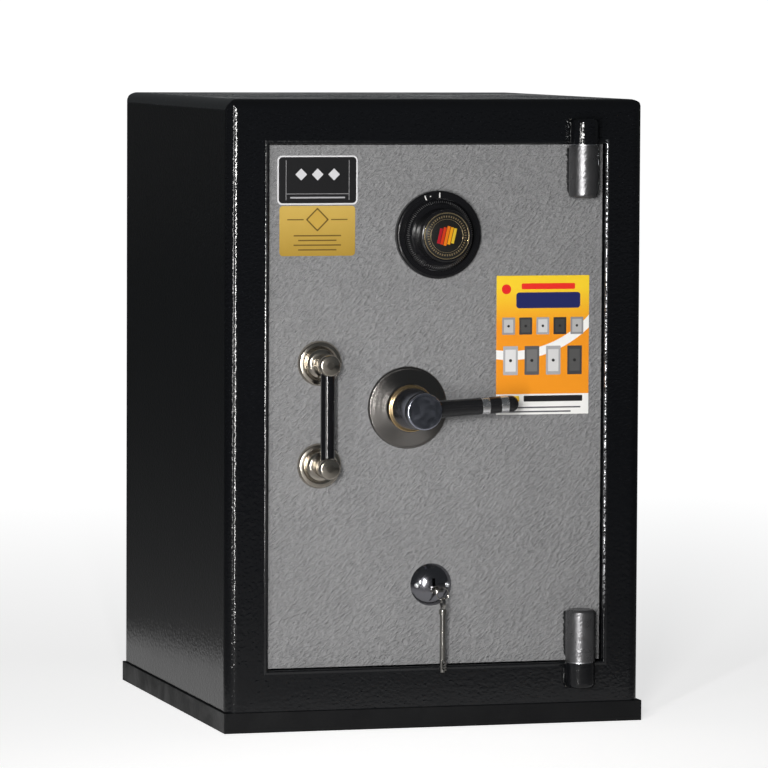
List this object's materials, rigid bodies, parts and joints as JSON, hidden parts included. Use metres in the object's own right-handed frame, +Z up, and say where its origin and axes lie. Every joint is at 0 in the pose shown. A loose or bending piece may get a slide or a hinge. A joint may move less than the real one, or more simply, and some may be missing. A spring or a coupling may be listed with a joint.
{
  "type": "combination safe",
  "caption": "Free-standing filled steel safe with a right-hung door, combination dial, lever handle, pull handle, key lock with keys, sliding bolt work and a shelf inside.",
  "frame": {"origin": "centre of the cabinet's base, on the floor", "axes": "+X to the right as seen from the front, +Y into the depth, +Z up; the door faces -Y"},
  "size_m": [0.465, 0.5235, 0.67],
  "materials": {
    "body_enamel": "gloss black enamel with a light orange-peel grain",
    "door_paint": "mid-grey hammered paint, satin",
    "door_knuckle": "silver-grey paint, satin",
    "inner_paint": "pale grey paint, satin",
    "pan_paint": "black paint, satin",
    "fill": "cast mineral fill, matt",
    "steel": "zinc-plated steel",
    "brass": "plain brass",
    "chrome": "polished chrome",
    "nickel": "polished nickel plate",
    "dial_black": "gloss black with white marks",
    "grip_black": "satin black",
    "dial_badge_print": "gold rims round red, orange and yellow stripes",
    "nameplate_black": "black plate with a pale rim, no lettering",
    "label_gold": "gold foil, no lettering",
    "leaflet_print": "orange and yellow print over a white foot, no lettering"
  },
  "bodies": {
    "cabinet": {"outer_shell": "body_enamel", "plinth_band": "body_enamel", "back_plate": "body_enamel", "fire_fill": "fill", "inner_liner": "inner_paint", "door_frame": "body_enamel", "anchor_sleeves": "steel", "shelf": "inner_paint", "shelf_rails": "inner_paint", "frame_hinge_upper": "body_enamel", "frame_hinge_lower": "body_enamel", "hinge_pin_upper": "steel", "hinge_pin_lower": "steel", "thrust_washers": "brass"},
    "door": {"door_plate": "door_paint", "door_rim": "pan_paint", "fire_board": "fill", "door_cover": "inner_paint", "cover_screws": "steel", "door_hinge_upper": "door_knuckle", "door_hinge_lower": "door_knuckle", "hinge_side_bolts": "steel", "guide_studs": "steel", "nameplate": "nameplate_black", "foil_label": "label_gold", "leaflet": "leaflet_print", "dial_ring": "dial_black", "lock_case": "steel", "lock_cover": "steel", "lever_flange": "chrome", "lever_collar": "brass", "key_escutcheon": "chrome", "escutcheon_screws": "steel", "key_lock_case": "steel", "key_lock_cover": "steel", "pull_rosettes": "nickel", "pull_handle": "nickel", "pull_screws": "steel"},
    "dial": {"dial_knob": "dial_black", "dial_badge": "dial_badge_print", "dial_spindle": "steel", "drive_cam": "brass"},
    "wheel_1": {"wheel_1": "brass"},
    "wheel_2": {"wheel_2": "brass"},
    "wheel_3": {"wheel_3": "brass"},
    "lever": {"lever_hub": "chrome", "lever_grip": "grip_black", "grip_bands": "chrome", "crank": "steel"},
    "bolt_work": {"bolt_carriage": "steel", "locking_bolt_1": "steel", "locking_bolt_2": "steel", "locking_bolt_3": "steel"},
    "combination_bolt": {"lock_bolt": "brass", "fence_lever": "steel"},
    "key": {"lock_key": "chrome"},
    "key_bolt": {"key_lock_bolt": "brass"},
    "lever_pack": {"lever_pack": "brass"},
    "key_ring": {"key_ring": "chrome"},
    "spare_key": {"spare_key": "chrome"}
  },
  "joints": [
    {"name": "door_swing", "type": "hinge", "parent": "cabinet", "child": "door", "pos_m": [0.1614, -0.2375, 0.344], "axis": [0, 0, 1], "range_deg": [0, 110]},
    {"name": "dial_spin", "type": "hinge", "parent": "door", "child": "dial", "pos_m": [0.003, -0.2225, 0.526], "axis": [0, -1, 0], "continuous": true},
    {"name": "wheel_1_spin", "type": "hinge", "parent": "door", "child": "wheel_1", "pos_m": [0.003, -0.2074, 0.526], "axis": [0, -1, 0], "continuous": true},
    {"name": "wheel_2_spin", "type": "hinge", "parent": "door", "child": "wheel_2", "pos_m": [0.003, -0.2038, 0.526], "axis": [0, -1, 0], "continuous": true},
    {"name": "wheel_3_spin", "type": "hinge", "parent": "door", "child": "wheel_3", "pos_m": [0.003, -0.2002, 0.526], "axis": [0, -1, 0], "continuous": true},
    {"name": "lever_turn", "type": "hinge", "parent": "door", "child": "lever", "pos_m": [-0.029, -0.2225, 0.342], "axis": [0, -1, 0], "range_deg": [0, 60]},
    {"name": "bolts_slide", "type": "slide", "parent": "door", "child": "bolt_work", "axis": [-1, 0, 0], "range_m": [0, 0.022]},
    {"name": "combination_bolt_slide", "type": "slide", "parent": "door", "child": "combination_bolt", "axis": [0, 0, -1], "range_m": [0, 0.0095]},
    {"name": "key_turn", "type": "hinge", "parent": "door", "child": "key", "pos_m": [-0.002, -0.2225, 0.148], "axis": [0, 1, 0], "range_deg": [0, 90]},
    {"name": "key_bolt_slide", "type": "slide", "parent": "door", "child": "key_bolt", "axis": [0, 0, 1], "range_m": [0, 0.0095]},
    {"name": "levers_lift", "type": "hinge", "parent": "door", "child": "lever_pack", "pos_m": [-0.023, -0.182, 0.1641], "axis": [0, -1, 0], "range_deg": [0, 6]},
    {"name": "ring_swing", "type": "hinge", "parent": "key", "child": "key_ring", "pos_m": [0.0043, -0.246, 0.148], "axis": [0, -1, 0], "range_deg": [-60, 100]},
    {"name": "spare_key_swing", "type": "hinge", "parent": "key_ring", "child": "spare_key", "pos_m": [0.0043, -0.246, 0.13775], "axis": [-1, 0, 0], "range_deg": [-3, 60]}
  ],
  "couplings": [
    {"joint": "wheel_1_spin", "follows": "dial_spin", "ratio": 1},
    {"joint": "wheel_2_spin", "follows": "dial_spin", "ratio": 1},
    {"joint": "wheel_3_spin", "follows": "dial_spin", "ratio": 1},
    {"joint": "bolts_slide", "follows": "lever_turn", "m_per_rad": 0.021008},
    {"joint": "key_bolt_slide", "follows": "key_turn", "m_per_rad": 0.0060479},
    {"joint": "levers_lift", "follows": "key_turn", "ratio": 0.066667}
  ]
}
